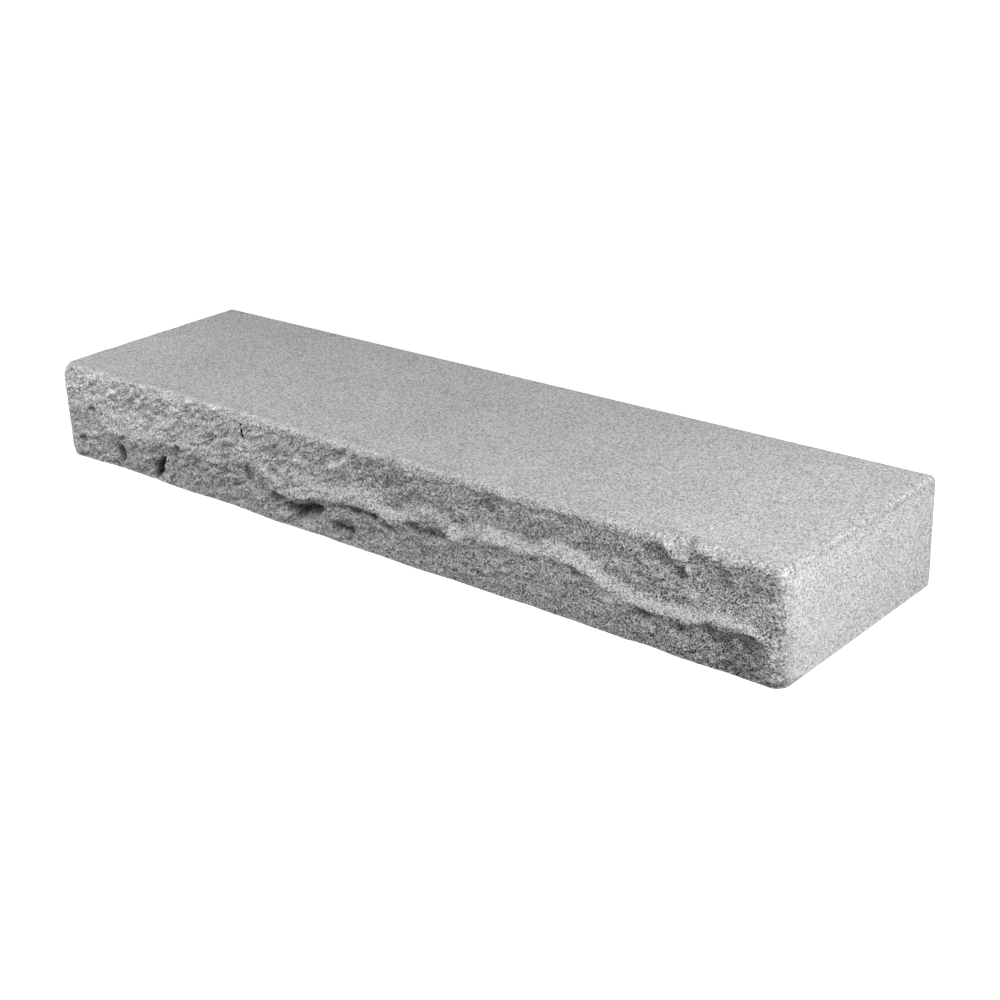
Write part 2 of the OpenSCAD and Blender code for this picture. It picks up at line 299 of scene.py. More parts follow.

# Bruises and stains of the riser, and spots of painted light and shade, in millimetres: place
# along the step, height, half length, half width, slope of the long axis in degrees, and how
# much paler the stone is there in percent. A number under zero is darker: a stain, or painted
# shade as in the notch and under the ledge. Many pale spots are painted light where the
# relief is shaded.
STAINS_AND_PAINTED_LIGHT = (
    # the left third: the upper face, then the notch and the foot
    (-560, 141, 90, 9, 0, 18), (-598, 121, 24, 9, 15, 26), (-562, 112, 70, 18, 15, 26),
    (-540, 117, 38, 8, 20, 24), (-640, 104, 12, 9, 0, 30), (-618, 88, 38, 9, 3, 38),
    (-550, 66, 24, 9, 12, 30), (-462, 141, 24, 7, 0, 24), (-440, 103, 18, 8, 18, 44),
    (-392, 103, 32, 9, 28, 90), (-430, 125, 28, 8, 30, -28), (-468, 79, 22, 7, 35, -22),
    (-358, 140, 16, 8, 0, 30), (-316, 145, 28, 7, 0, 36), (-282, 145, 14, 6, 0, 30),
    (-310, 132, 24, 14, 70, 14), (-296, 127, 18, 7, 35, -28), (-300, 103, 32, 7, 10, 12),
    (-306, 105, 20, 8, 8, 40), (-250, 107, 22, 11, 12, 64), (-290, 68, 22, 12, 60, -26),
    (-446, 22, 28, 8, 52, -35), (-446, 10, 16, 9, 45, -60), (-419, 11, 16, 9, 74, 50),
    (-402, 46, 14, 8, 40, -40), (-466, 32, 16, 10, 60, 24), (-544, 8, 44, 8, 5, -44),
    (-626, 24, 14, 8, 10, -44), (-634, 6, 12, 8, 0, 36), (-356, 52, 20, 8, 0, 20),
    (-368, 26, 20, 7, 0, 20), (-335, 18, 30, 8, 0, 20), (-262, 10, 14, 10, 60, 34),
    (-240, 44, 26, 12, 85, -26), (-290, 44, 22, 13, 80, -14),
    # round the deep slot
    (-192, 106, 34, 8, 20, 14), (-142, 114, 24, 16, 60, 24), (-132, 97, 16, 10, -15, 100),
    (-64, 112, 46, 12, 16, 80), (-78, 118, 14, 7, 0, 30), (-40, 94, 20, 9, 10, 40),
    (-85, 84, 36, 7, 8, -36), (-187, 78, 24, 8, 10, -40), (-196, 73, 34, 9, 4, -36),
    (-146, 70, 34, 9, -4, -56), (-170, 49, 34, 7, -8, 44), (-62, 65, 40, 7, 12, 14),
    (-156, 7, 40, 8, -2, -46), (-108, 15, 20, 7, 20, -40), (-62, 19, 38, 8, 6, -52),
    (-88, 47, 10, 6, 0, -30), (-42, 136, 16, 8, 10, 26), (-14, 55, 30, 16, 0, -24),
    (-8, 69, 22, 8, 0, -30),
    # the middle
    (32, 109, 30, 9, 20, -60), (50, 117, 14, 7, 0, -44), (56, 129, 24, 13, 10, -36),
    (20, 118, 12, 5, 20, 24), (104, 138, 44, 7, 0, 18), (96, 108, 30, 9, -5, 70),
    (135, 113, 18, 9, 0, 34), (165, 98, 20, 10, -10, 38), (122, 93, 32, 6, 0, -34),
    (106, 81, 60, 8, -4, -44), (150, 78, 20, 7, 0, -30), (34, 76, 34, 7, 0, -24),
    (84, 46, 44, 12, 0, -40), (102, 56, 40, 8, 0, -22), (26, 42, 34, 8, 0, -30),
    (180, 52, 22, 10, 0, -30), (186, 73, 28, 7, 14, -34), (104, 28, 14, 12, -45, -30),
    (148, 12, 16, 6, 0, -28), (212, 116, 20, 10, -20, -42), (238, 108, 22, 11, 35, 90),
    (215, 68, 14, 8, 0, 30), (268, 139, 12, 6, 0, 26), (285, 89, 48, 5, 6, -30),
    (312, 76, 36, 4, 0, 40), (290, 102, 30, 9, 10, 44), (310, 114, 44, 8, 0, 34),
    (325, 106, 56, 14, 0, 20), (270, 50, 14, 18, -60, 54), (236, 30, 34, 7, 10, 34),
    (330, 14, 90, 8, 0, 18), (340, 79, 44, 9, 0, 18),
    # the right third, with the chip in the nosing and the dark foot
    (393, 60, 28, 20, -50, 24), (404, 49, 28, 8, 0, 44), (415, 98, 42, 18, -20, 17),
    (390, 7, 60, 6, 0, 22), (440, 138, 34, 7, 0, 24), (424, 88, 34, 12, -5, 50),
    (484, 88, 20, 9, 0, 46), (520, 80, 22, 9, -10, 80), (474, 120, 30, 13, -25, -44),
    (515, 111, 9, 16, 5, 100), (484, 127, 16, 8, 0, -36), (498, 134, 16, 7, 0, -36),
    (490, 146, 12, 6, -30, -24), (520, 145, 12, 9, 50, -22), (566, 120, 28, 14, -40, -52),
    (578, 136, 14, 7, 0, 30), (614, 119, 26, 11, -8, -54), (615, 94, 44, 9, 5, 38),
    (542, 65, 64, 6, 4, -12), (434, 40, 30, 8, 4, -28), (500, 112, 8, 14, 10, -36),
    (614, 46, 20, 9, -30, -40), (505, 31, 28, 9, 0, -26), (552, 42, 26, 9, -15, -36),
    (590, 32, 54, 22, -12, -42), (536, 6, 36, 6, 0, -36), (590, 8, 56, 8, 0, -44),
    (638, 4, 20, 7, 0, -50), (636, 34, 10, 18, 0, 40),
)


# ---------------------------------------------------------------- the skin


def blur(values, sigma, axis):
    """Gaussian blur of a 2D array along one axis, with sigma in steps."""
    if sigma <= 0:
        return values
    reach = int(math.ceil(3 * sigma))
    weights = np.exp(-0.5 * (np.arange(-reach, reach + 1) / sigma) ** 2)
    weights /= weights.sum()
    pad = [(0, 0), (0, 0)]
    pad[axis] = (reach, reach)
    padded = np.pad(values, pad, mode="edge")
    count = values.shape[axis]
    return sum(
        weight * np.take(padded, np.arange(count) + k, axis=axis)
        for k, weight in enumerate(weights)
    )


def smooth_step(low, high, values):
    """0 below low, 1 above high, and a smooth rise between them."""
    t = np.clip((np.asarray(values, float) - low) / (high - low), 0, 1)
    return t * t * (3 - 2 * t)


def fade(low, high, distances):
    """The same, with low and high in millimetres and the distances in metres."""
    return smooth_step(low * MM, high * MM, distances)


def graded(start, end, first, last):
    """Points from start to end whose spacing grows evenly from first to last."""
    points = [0.0]
    span = end - start
    while points[-1] < span:
        share = min(points[-1] / span, 1)
        points.append(points[-1] + first + (last - first) * share)
    scale = span / points[-1]
    return start + np.array(points) * scale


def stations(settings):
    """Places along the step: even, with a few closer ones at each end."""
    low, high = BLOCK_LOW.x, BLOCK_HIGH.x
    rim = 6 * MM
    rim_steps = np.array([0, 0.35, 1.0, 2.1, 3.8]) * MM
    count = int(round((high - low - 2 * rim) / settings.spacing))
    inner = np.linspace(low + rim, high - rim, count + 1)
    return np.concatenate([low + rim_steps, inner, (high - rim_steps)[::-1]])


def section_rays(settings):
    """Rays in the plane of a cross-section, from inside the block outwards.

    Each row is (y, z, direction y, direction z), from the toe of the riser over the
    nosing, the tread and the back arris to the foot of the back.
    """
    front, back, top = BLOCK_LOW.y, BLOCK_HIGH.y, BLOCK_HIGH.z
    reach, back_reach = settings.nosing_reach, settings.back_reach
    riser_rows = np.linspace(INSET, top - reach, int((top - reach) / settings.spacing) + 1)
    riser = [(front + reach, z, -1, 0) for z in riser_rows]
    nosing_count = int(1.7 * reach / settings.spacing)
    nosing = [
        (front + reach, top - reach, -math.cos(a), math.sin(a))
        for a in np.linspace(0, math.pi / 2, nosing_count + 1)[1:]
    ]
    tread_rows = graded(front + reach, back - back_reach, *TREAD_SPACING)[1:-1]
    tread = [(y, top - reach, 0, 1) for y in tread_rows]
    back_arris = [
        (back - back_reach, top - back_reach, math.sin(a), math.cos(a))
        for a in np.radians(BACK_ARRIS_ANGLES)
    ]
    back_rows = np.linspace(top - back_reach, INSET, BACK_ROWS)[1:]
    foot = [(back - back_reach, z, 1, 0) for z in back_rows]
    counts = {"riser": len(riser), "nosing": len(nosing), "tread": len(tread),
              "back_arris": len(back_arris), "foot": len(foot)}
    return np.array(riser + nosing + tread + back_arris + foot), counts


def block_tree():
    """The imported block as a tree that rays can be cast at."""
    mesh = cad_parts[NODE].data
    mesh.calc_loop_triangles()
    points = [v.co.copy() for v in mesh.vertices]
    return BVHTree.FromPolygons(points, [t.vertices for t in mesh.loop_triangles])


def cast_sections(xs, rays):
    """Distance from each ray's start to the surface of the block, for every station.

    Level rays at the riser are cast from deeper in the block, because the hollows there
    may reach past the ray's start. Their distance is then less than zero.
    """
    tree = block_tree()
    reach = np.zeros((len(xs), len(rays)))
    for i, x in enumerate(np.clip(xs, BLOCK_LOW.x + INSET, BLOCK_HIGH.x - INSET)):
        for j, (y, z, dy, dz) in enumerate(rays):
            deeper = DEEPEST_HOLLOW if dy == -1 else 0.0
            hit = tree.ray_cast(Vector((x, y + deeper, z)), Vector((0, dy, dz)))
            if hit[0] is None:
                raise RuntimeError(f"no surface found from ({x:.4f}, {y:.4f}, {z:.4f})")
            reach[i, j] = hit[3] - deeper
    return reach


def soften(reach, xs, settings):
    """Blends the flats of the riser together, except at its ends and by the tread."""
    soft = blur(blur(reach, settings.softening / settings.spacing, 0),
                0.6 * settings.softening / settings.spacing, 1)
    from_end = np.minimum(xs - xs[0], xs[-1] - xs)
    from_tread = np.arange(reach.shape[1])[::-1] / 6.0
    weight = fade(2, 14, from_end)[:, None] * np.clip(from_tread, 0, 1)[None, :]
    reach += (soft - reach) * weight


def ragged_place(x, z, size, amount):
    """Places on the riser, shifted a little at random so that outlines come out ragged."""
    points = np.stack([x, 0 * x, z], axis=-1).reshape(-1, 3)
    shift = np.array([noise.turbulence_vector(Vector(p) / size, 3, False) for p in points])
    return x + amount * shift[:, 0].reshape(x.shape), z + amount * shift[:, 2].reshape(x.shape)


def oval(spot, x, z, steepness):
    """1 on the floor of one oval spot of the riser, 0 outside it."""
    place, height, half_length, half_width, slope = spot[:5]
    dx, dz = x / MM - place, z / MM - height
    turn = math.radians(slope)
    run = (dx * math.cos(turn) + dz * math.sin(turn)) / half_length
    across = (dz * math.cos(turn) - dx * math.sin(turn)) / half_width
    return smooth_step(0, 1, steepness * (1 - np.hypot(run, across)))


def cuts(x, z):
    """How far the cuts draw the riser back at places x and heights z."""
    x, z = ragged_place(x, z, 13 * MM, 6 * MM)
    depths = [spot[5] * oval(spot, x, z, 2.4) for spot in CUTS]
    deepest = np.maximum(0, np.max(depths, axis=0))
    highest = np.minimum(0, np.min(depths, axis=0))
    return (deepest + highest) * MM * fade(-4, 12, z)


def stains_and_painted_light(x, z):
    """How much paler the riser is at places x and heights z, as a share: bruises and stains, and
    painted light and shade.
    """
    x, z = ragged_place(x, z, 16 * MM, 9 * MM)
    return sum(0.01 * spot[5] * oval(spot, x, z, 1.3) for spot in STAINS_AND_PAINTED_LIGHT)


def wear_ends(y, z, xs):
    """Draws the riser back where its ends are knocked and worn."""
    near = [np.clip(1 - d / END_WEAR, 0, 1) ** 2 for d in (xs - xs[0], xs[-1] - xs)]
    # the corners at the foot are knocked off
    knocked = (4 * near[0] + 5 * near[1]) * MM
    y += knocked[:, None] * np.clip(1 - z / END_WEAR, 0, 1) ** 2
    # and the arris at the right end is worn unevenly
    wear = np.array([noise.turbulence(Vector((0, 0, h / (14 * MM))), 3, False) for h in z[-1]])
    y += 6 * MM * near[1][:, None] * np.clip(0.8 + 1.2 * wear, 0, 2)


def end_cap(loop_yz, spacing):
    """Triangles that close an end: the loop's own points come first, then inner ones."""
    low, high = loop_yz.min(0), loop_yz.max(0)
    inner_low, inner_high = low + spacing, high - spacing
    columns = int((inner_high[0] - inner_low[0]) / spacing)
    rows = int((inner_high[1] - inner_low[1]) / spacing)
    inner = [
        Vector((y, z))
        for y in np.linspace(inner_low[0] + spacing, inner_high[0] - spacing, columns)
        for z in np.linspace(inner_low[1], inner_high[1], rows)
    ]
    outline = [Vector(p) for p in loop_yz]
    points, _, faces, origin, _, _ = delaunay_2d_cdt(
        outline + inner, [], [list(range(len(outline)))], 1, 1e-7
    )
    return points, faces, origin


def skin_mesh(settings):
    """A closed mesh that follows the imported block, with masks for its finishes."""
    noise.seed_set(RAGGED_SEED)
    xs = stations(settings)
    rays, counts = section_rays(settings)
    reach = cast_sections(xs, rays)
    # the last rows of the nosing are left to the tread
    riser = slice(0, counts["riser"] + counts["nosing"] - 4)
    soften(reach[:, riser], xs, settings)
    y = rays[:, 0] + reach * rays[:, 2]
    z = rays[:, 1] + reach * rays[:, 3]
    y[:, riser] += cuts(np.repeat(xs[:, None], riser.stop, 1), z[:, riser])
    wear_ends(y[:, riser], z[:, riser], xs)
    z[:, 0] = 0
    z[:, -1] = 0
    bed_share = np.linspace(0, 1, BED_ROWS)[1:-1]
    bed_y = y[:, -1:] + (y[:, :1] - y[:, -1:]) * bed_share
    y = np.concatenate([y, bed_y], axis=1)
    z = np.concatenate([z, np.zeros_like(bed_y)], axis=1)
    n_station, n_row = y.shape
    x = np.repeat(xs[:, None], n_row, axis=1)

    index = np.arange(n_station * n_row).reshape(n_station, n_row)
    here, after = index[:-1], index[1:]
    quads = np.stack([here, after, np.roll(after, -1, 1), np.roll(here, -1, 1)], axis=-1)
    faces = [tuple(q) for q in quads.reshape(-1, 4).tolist()]
    points = np.stack([x, y, z], axis=-1).reshape(-1, 3).tolist()
    for station, turned in ((0, True), (n_station - 1, False)):
        loop = np.stack([y[station], z[station]], axis=-1)
        cap_points, cap_faces, origin = end_cap(loop, CAP_SPACING)
        number = []
        for p, source in zip(cap_points, origin):
            known = [s for s in source if s < n_row]
            if known:
                number.append(int(index[station, known[0]]))
            else:
                number.append(len(points))
                points.append([float(xs[station]), p.x, p.y])
        for f in cap_faces:
            corners = [number[k] for k in f]
            faces.append(tuple(reversed(corners)) if turned else tuple(corners))

    mesh = bpy.data.meshes.new("granite_block")
    mesh.from_pydata(points, [], faces)
    mesh.validate()
    for name, values in finish_masks(x, y, z, counts).items():
        full = np.zeros(len(mesh.vertices), np.float32)
        full[: values.size] = values.reshape(-1)
        if name == "near_end":
            full[values.size:] = CAP_NEAR_END
        layer = mesh.attributes.new(name, "FLOAT", "POINT")
        layer.data.foreach_set("value", full)
    mark_sharp_rows(mesh, index, counts)
    mesh.shade_smooth()
    return mesh


def finish_masks(x, y, z, counts):
    """Where the stone is broken, worn at an arris, near an end or sawn, and the painted shade,
    painted light and stains of its riser.
    """
    shape = x.shape
    rows = np.arange(shape[1])
    nosing_end = counts["riser"] + counts["nosing"]
    tread_end = nosing_end + counts["tread"]
    from_end = np.minimum(x - x[0], x[-1] - x)
    below_tread = BLOCK_HIGH.z - z
    behind_riser = y - BLOCK_LOW.y
    on_riser = np.broadcast_to(rows < nosing_end, shape)
    pitched = on_riser * fade(1, 5, below_tread + ragged_distance(x, y, z))
    # the relief is lower by the tread, the ends, the bed, below the ledge and to the right
    broken = on_riser * fade(1, 8, below_tread)
    broken = broken * (0.15 + 0.85 * fade(0.5, 10, from_end))
    broken = broken * (0.4 + 0.6 * fade(0, 10, z))
    broken = broken * (0.75 + 0.25 * fade(45, 75, z))
    broken = broken * (1.15 - 0.55 * fade(-400, 400, x))
    nosing = on_riser * (1 - fade(7, 18, behind_riser)) * (1 - fade(3, 12, below_tread))
    above_back = np.broadcast_to(rows < tread_end + counts["back_arris"], shape)
    arris = np.maximum(nosing, (1 - fade(3, 15, from_end)) * above_back)
    near_end = 1 - np.clip(from_end / (36 * MM), 0, 1)
    painted_shade_and_stains = ledge_painted_shade(x, y, z, counts["riser"], nosing_end)
    riser = slice(0, counts["riser"])
    # painted shade deep in the cuts and hollows
    painted_shade_and_stains[:, riser] += 2.4 * hollow_shade_share(y[:, riser])
    # painted light and shade of the listed spots, with the bruises and stains
    painted_shade_and_stains[:, :nosing_end] -= stains_and_painted_light(x[:, :nosing_end], z[:, :nosing_end]) / SHADE_DEPTH
    sawn = np.broadcast_to(rows >= tread_end + counts["back_arris"] // 2, shape) * 1.0
    return {"broken": broken, "pitched": pitched, "arris": arris, "near_end": near_end,
            "sawn": sawn, "painted_shade_and_stains": painted_shade_and_stains}


def ragged_distance(x, y, z):
    """Random distances, of a few millimetres either way, that make an outline ragged."""
    points = np.stack([x, y, z], axis=-1).reshape(-1, 3)
    values = [noise.turbulence(Vector(p) / (7 * MM), 3, False) for p in points]
    return 5 * MM * (np.array(values).reshape(x.shape) - 0.1)


def hollow_shade_share(y):
    """1 deep in the cuts and hollows of the riser, 0 on the open face. It darkens them as
    painted shade.
    """
    around = blur(blur(y, 13, 0), 8, 1)
    below_nosing = np.clip(np.arange(y.shape[1])[::-1] / 8.0, 0, 1)
    return fade(1.5, 9, y - around) * below_nosing


def ledge_painted_shade(x, y, z, riser_rows, nosing_end):
    """Painted shadow under the ledge, deepest to the right, and painted shade on the nosing that
    takes away its highlight, are above 0. Over the ledge it is below 0: partly painted light
    where the riser faces up, partly bruised stone, most to the left.
    """
    low, high = (np.searchsorted(z[len(z) // 2, :riser_rows], h * MM) for h in LEDGE_HEIGHTS)
    stands_out = low + np.argmin(blur(y[:, low:high], 3, 0), axis=1)
    ledge = blur(z[np.arange(len(z)), stands_out][:, None], 8, 0)
    above = fade(-8, 14, z - ledge)
    nosing = 1 - fade(1, 12, BLOCK_HIGH.z - z)
    left = 1 - fade(-500, 100, x)
    right = fade(250, 560, x)
    # painted shadow under the ledge, and painted light over it
    painted_shadow_under_ledge = (1 - above) * (0.35 + 0.9 * right)
    bruise_and_painted_light = above * (1 - nosing) * (0.4 + 0.6 * left - 0.2 * right)
    # painted shade on the nosing takes away its highlight
    painted_shade_and_stains = painted_shadow_under_ledge - bruise_and_painted_light + (0.35 + 0.3 * right) * nosing
    return np.where(np.arange(z.shape[1]) < nosing_end, painted_shade_and_stains, 0)


def mark_sharp_rows(mesh, index, counts):
    """Keeps the edges of the bed and the sawn back crisp."""
    foot_row = sum(counts.values()) - 1
    n_row = index.shape[1]
    edges = np.zeros(len(mesh.edges) * 2, np.int64)
    mesh.edges.foreach_get("vertices", edges)
    edges = edges.reshape(-1, 2)
    inside = (edges < index.size).all(axis=1)
    row = edges % n_row
    along = (row[:, 0] == row[:, 1]) & np.isin(row[:, 0], (0, foot_row)) & inside
    station = edges // n_row
    at_end = np.isin(station, (0, len(index) - 1)).all(axis=1) & inside
    on_bed = ((row == 0) | (row >= foot_row)).all(axis=1)
    layer = mesh.attributes.new("sharp_edge", "BOOLEAN", "EDGE")
    layer.data.foreach_set("value", along | (at_end & on_bed))


# ---------------------------------------------------------------- nodes


class Tree:
    """Short calls that add and join nodes."""

    def __init__(self, tree):
        self.nodes = tree.nodes
        self.links = tree.links

    def feed(self, socket, value):
        if isinstance(value, bpy.types.NodeSocket):
            self.links.new(value, socket)
        else:
            socket.default_value = value

    def add(self, kind, inputs=None, **settings):
        """Adds a node with these settings and inputs, and returns its outputs."""
        node = self.nodes.new(kind)
        for name, value in settings.items():
            setattr(node, name, value)
        for name, value in (inputs or {}).items():
            self.feed(node.inputs[name], value)
        return node.outputs

    def math(self, operation, a, b, c=None, clamp=False):
        inputs = {0: a, 1: b} if c is None else {0: a, 1: b, 2: c}
        return self.add("ShaderNodeMath", inputs, operation=operation, use_clamp=clamp)[0]

    def vector(self, operation, a, b):
        """Two vectors joined, or a vector scaled by a number."""
        second = "Scale" if operation == "SCALE" else 1
        outputs = self.add("ShaderNodeVectorMath", {0: a, second: b}, operation=operation)
        return outputs["Value" if operation == "DOT_PRODUCT" else "Vector"]

    def length(self, vector):
        return self.add("ShaderNodeVectorMath", {0: vector}, operation="LENGTH")["Value"]

    def remap(self, value, low, high, to_low=0.0, to_high=1.0, kind="SMOOTHSTEP"):
        inputs = {"Value": value, "From Min": low, "From Max": high,
                  "To Min": to_low, "To Max": to_high}
        return self.add("ShaderNodeMapRange", inputs, interpolation_type=kind)[0]

    def noise(self, at, scale, detail, roughness, w=None):
        inputs = {"Vector": at, "Scale": scale, "Detail": detail, "Roughness": roughness}
        if w is None:
            return self.add("ShaderNodeTexNoise", inputs, noise_dimensions="3D")
        return self.add("ShaderNodeTexNoise", inputs | {"W": w}, noise_dimensions="4D")

    def voronoi(self, at, scale, feature="F1", w=None):
        inputs = {"Vector": at, "Scale": scale}
        settings = {"feature": feature, "voronoi_dimensions": "3D" if w is None else "4D"}
        if w is not None:
            inputs["W"] = w
        return self.add("ShaderNodeTexVoronoi", inputs, **settings)

    def mix(self, share, a, b):
        """Numbers a and b mixed, a where the share is 0."""
        return self.add("ShaderNodeMix", {0: share, 2: a, 3: b}, data_type="FLOAT")[0]

    def blend(self, share, a, b, kind="MIX"):
        """Colours a and b blended. A share under 0 takes a further from b."""
        return self.add("ShaderNodeMix", {0: share, 6: a, 7: b}, data_type="RGBA",
                        blend_type=kind, clamp_factor=False, clamp_result=kind == "MIX")[2]

    def multiply(self, base, color, share=1.0):
        return self.blend(share, base, color, "MULTIPLY")

    def grey(self, value):
        """One number as a grey colour."""
        return self.add("ShaderNodeCombineColor", {0: value, 1: value, 2: value})[0]

    def ramp(self, value, stops, interpolation="LINEAR"):
        node = self.nodes.new("ShaderNodeValToRGB")
        band = node.color_ramp
        band.interpolation = interpolation
        while len(band.elements) < len(stops):
            band.elements.new(0.5)
        for element, (place, color) in zip(band.elements, stops):
            element.position = place
            element.color = (*color, 1.0)
        self.feed(node.inputs[0], value)
        return node.outputs[0]

    def attribute(self, name):
        return self.add("ShaderNodeAttribute", attribute_type="GEOMETRY",
                        attribute_name=name)["Fac"]


# ---------------------------------------------------------------- the break


def shards(t, at, size, height, seed):
    """Flat chips of stone, each tilted its own way and set a little in or out."""
    scale = t.math("DIVIDE", 1.0, size)
    cells = t.voronoi(at, scale, w=seed)
    edge = t.voronoi(at, scale, w=seed, feature="DISTANCE_TO_EDGE")
    tilt = t.vector("SUBTRACT", cells["Color"], (0.5, 0.5, 0.5))
    reach = t.vector("SUBTRACT", at, cells["Position"])
    slope = t.math("DIVIDE", t.vector("DOT_PRODUCT", reach, tilt), size)
    step = t.vector("DOT_PRODUCT", tilt, (0.9, 0.5, -0.7))
    rise = t.math("ADD", t.math("MULTIPLY", slope, SHARD_TILT), step)
    rise = t.math("MULTIPLY", rise, t.remap(edge["Distance"], 0.0, 0.10))
    return t.math("MULTIPLY", rise, height)


def label(name):
    """The name of a modifier input that a setting goes into."""
    return name.replace("_", " ").title()


def break_tree():
    """Geometry nodes that push the broken stone in and out along its normals."""
    group = bpy.data.node_groups.new("Pitched Break", "GeometryNodeTree")
    face = group.interface
    face.new_socket("Geometry", in_out="INPUT", socket_type="NodeSocketGeometry")
    for name in BREAK_LENGTHS:
        socket = face.new_socket(label(name), in_out="INPUT", socket_type="NodeSocketFloat")
        socket.subtype = "DISTANCE"
    face.new_socket("Seed", in_out="INPUT", socket_type="NodeSocketFloat")
    face.new_socket("Material", in_out="INPUT", socket_type="NodeSocketMaterial")
    face.new_socket("Geometry", in_out="OUTPUT", socket_type="NodeSocketGeometry")
    t = Tree(group)
    given = t.add("NodeGroupInput")
    position = t.add("GeometryNodeInputPosition")[0]
    normal = t.add("GeometryNodeInputNormal")[0]

    def mask(name):
        return t.add("GeometryNodeInputNamedAttribute", {"Name": name}, data_type="FLOAT")[0]

    def per(size):
        return t.math("DIVIDE", 1.0, size)

    def swing(value):
        """Noise set round 0, from about -1 to 1."""
        return t.math("MULTIPLY", t.math("SUBTRACT", value, 0.5), 2.0)

    seed = given["Seed"]
    # the break runs in slanting sheets, so its pattern is stretched along the slant
    slanted = t.add("ShaderNodeVectorRotate", {"Vector": position, "Angle": SHEET_SLANT},
                    rotation_type="Y_AXIS")[0]
    sheets = t.vector("MULTIPLY", slanted, (0.62, 1.0, 1.25))
    warp = t.noise(sheets, per(given["Facet Size"]), 2, 0.5, w=seed)
    shift = t.vector("SUBTRACT", warp["Color"], (0.5, 0.5, 0.5))
    warped = t.vector("ADD", sheets, t.vector("SCALE", shift, given["Facet Size"]))

    lumps = swing(t.noise(sheets, per(given["Lump Size"]), 2, 0.45, w=seed)[0])
    lumps = t.math("MULTIPLY", lumps, given["Lump Height"])
    facets = shards(t, warped, given["Facet Size"], given["Facet Height"], seed)
    crystals = shards(t, warped, given["Crystal Size"], given["Crystal Height"], seed)
    slabs = shards(t, sheets, t.math("MULTIPLY", given["Facet Size"], 2.2),
                   t.math("MULTIPLY", given["Facet Height"], 1.1), seed)
    facets = t.math("ADD", facets, slabs)
    pits = per(t.math("MULTIPLY", given["Crystal Size"], 0.7))
    rough = swing(t.noise(position, pits, 2, 0.6, w=seed)[0])
    crystals = t.math("ADD", crystals, t.math("MULTIPLY", rough, given["Crystal Height"]))

    relief = t.math("ADD", t.math("ADD", lumps, facets), crystals)
    relief = t.math("SUBTRACT", relief, t.math("MULTIPLY", given["Facet Height"], 0.25))
    relief = t.math("MULTIPLY", relief, mask("broken"))
    wear = t.noise(position, per(given["Wear Size"]), 3, 0.6, w=t.math("ADD", seed, 3.7))
    wear = t.math("MULTIPLY", t.math("SUBTRACT", wear[0], 0.62), given["Wear Height"])
    wear = t.math("MULTIPLY", t.math("MULTIPLY", wear, 2.0), mask("arris"))
    offset = t.vector("SCALE", normal, t.math("ADD", relief, wear))
    # the foot of the riser stays on the floor
    height = t.add("ShaderNodeSeparateXYZ", {0: position})["Z"]
    offset = t.add("GeometryNodeSwitch", {
        "Switch": t.math("LESS_THAN", height, 1e-5),
        "False": offset,
        "True": t.vector("MULTIPLY", offset, (1.0, 1.0, 0.0)),
    }, input_type="VECTOR")[0]

    moved = t.add("GeometryNodeSetPosition", {"Geometry": given["Geometry"], "Offset": offset})
    real = t.add("GeometryNodeRealizeInstances", {0: moved[0]})
    painted = t.add("GeometryNodeSetMaterial",
                    {"Geometry": real[0], "Material": given["Material"]})
    t.add("NodeGroupOutput", {0: painted[0]})
    return group


def run_tree(obj, group, values):
    """Gives the modifier its inputs and puts the finished mesh in the object's place."""
    modifier = obj.modifiers.new(group.name, "NODES")
    modifier.node_group = group
    identifiers = {
        item.name: item.identifier
        for item in group.interface.items_tree
        if item.item_type == "SOCKET" and item.in_out == "INPUT"
    }
    for name, value in values.items():
        modifier[identifiers[name]] = value
    graph = bpy.context.evaluated_depsgraph_get()
    mesh = bpy.data.meshes.new_from_object(
        obj.evaluated_get(graph), preserve_all_data_layers=True, depsgraph=graph
    )
    obj.modifiers.clear()
    old = obj.data
    obj.data = mesh
    bpy.data.meshes.remove(old)
    mesh.name = obj.name


# ---------------------------------------------------------------- the stone's material


def tool_mark(t, at):
    """1 inside the thin tool mark, 0 outside it."""
    upper, lower = (Vector(p) * MM for p in TOOL_MARK)
    along = lower - upper
    offset = t.vector("SUBTRACT", at, tuple(upper))
    share = t.math("DIVIDE", t.vector("DOT_PRODUCT", offset, tuple(along)),
                   along.length_squared, clamp=True)
    nearest = t.vector("SCALE", tuple(along), share)
    away = t.vector("MULTIPLY", t.vector("SUBTRACT", offset, nearest), (1.0, 0.0, 1.0))
    width = TOOL_MARK_WIDTH * MM
    return t.remap(t.length(away), 0.5 * width, width, 1.0, 0.0)


def finish_shares(t, at):
    """How much of each finish there is at a point, by name, from 0 to 1."""
    share = {name: t.attribute(name) for name in ("pitched", "arris", "sawn", "near_end")}
    # the end's finish runs round the arris as far as a ragged line
    rag = t.noise(at, 1 / (5 * MM), 2, 0.6)[0]
    inward = t.math("MULTIPLY_ADD", rag, 1.8, t.math("SUBTRACT", share["near_end"], 0.9))
    end = t.remap(inward, 0.72, 0.84)
    share["end"] = end
    share["broken"] = t.math("MULTIPLY", share["pitched"], t.math("SUBTRACT", 1.0, end))
    # the arris at an end, which gets painted shade against its highlight
    share["worn_end"] = t.math("MULTIPLY", share["arris"], share["near_end"], clamp=True)
    # how far the break faces up; the tone paints light there
    normal = t.add("ShaderNodeNewGeometry")["Normal"]
    facing_up = t.add("ShaderNodeSeparateXYZ", {0: normal})["Z"]
    share["upward"] = t.math("MULTIPLY", facing_up, share["broken"])
    return share


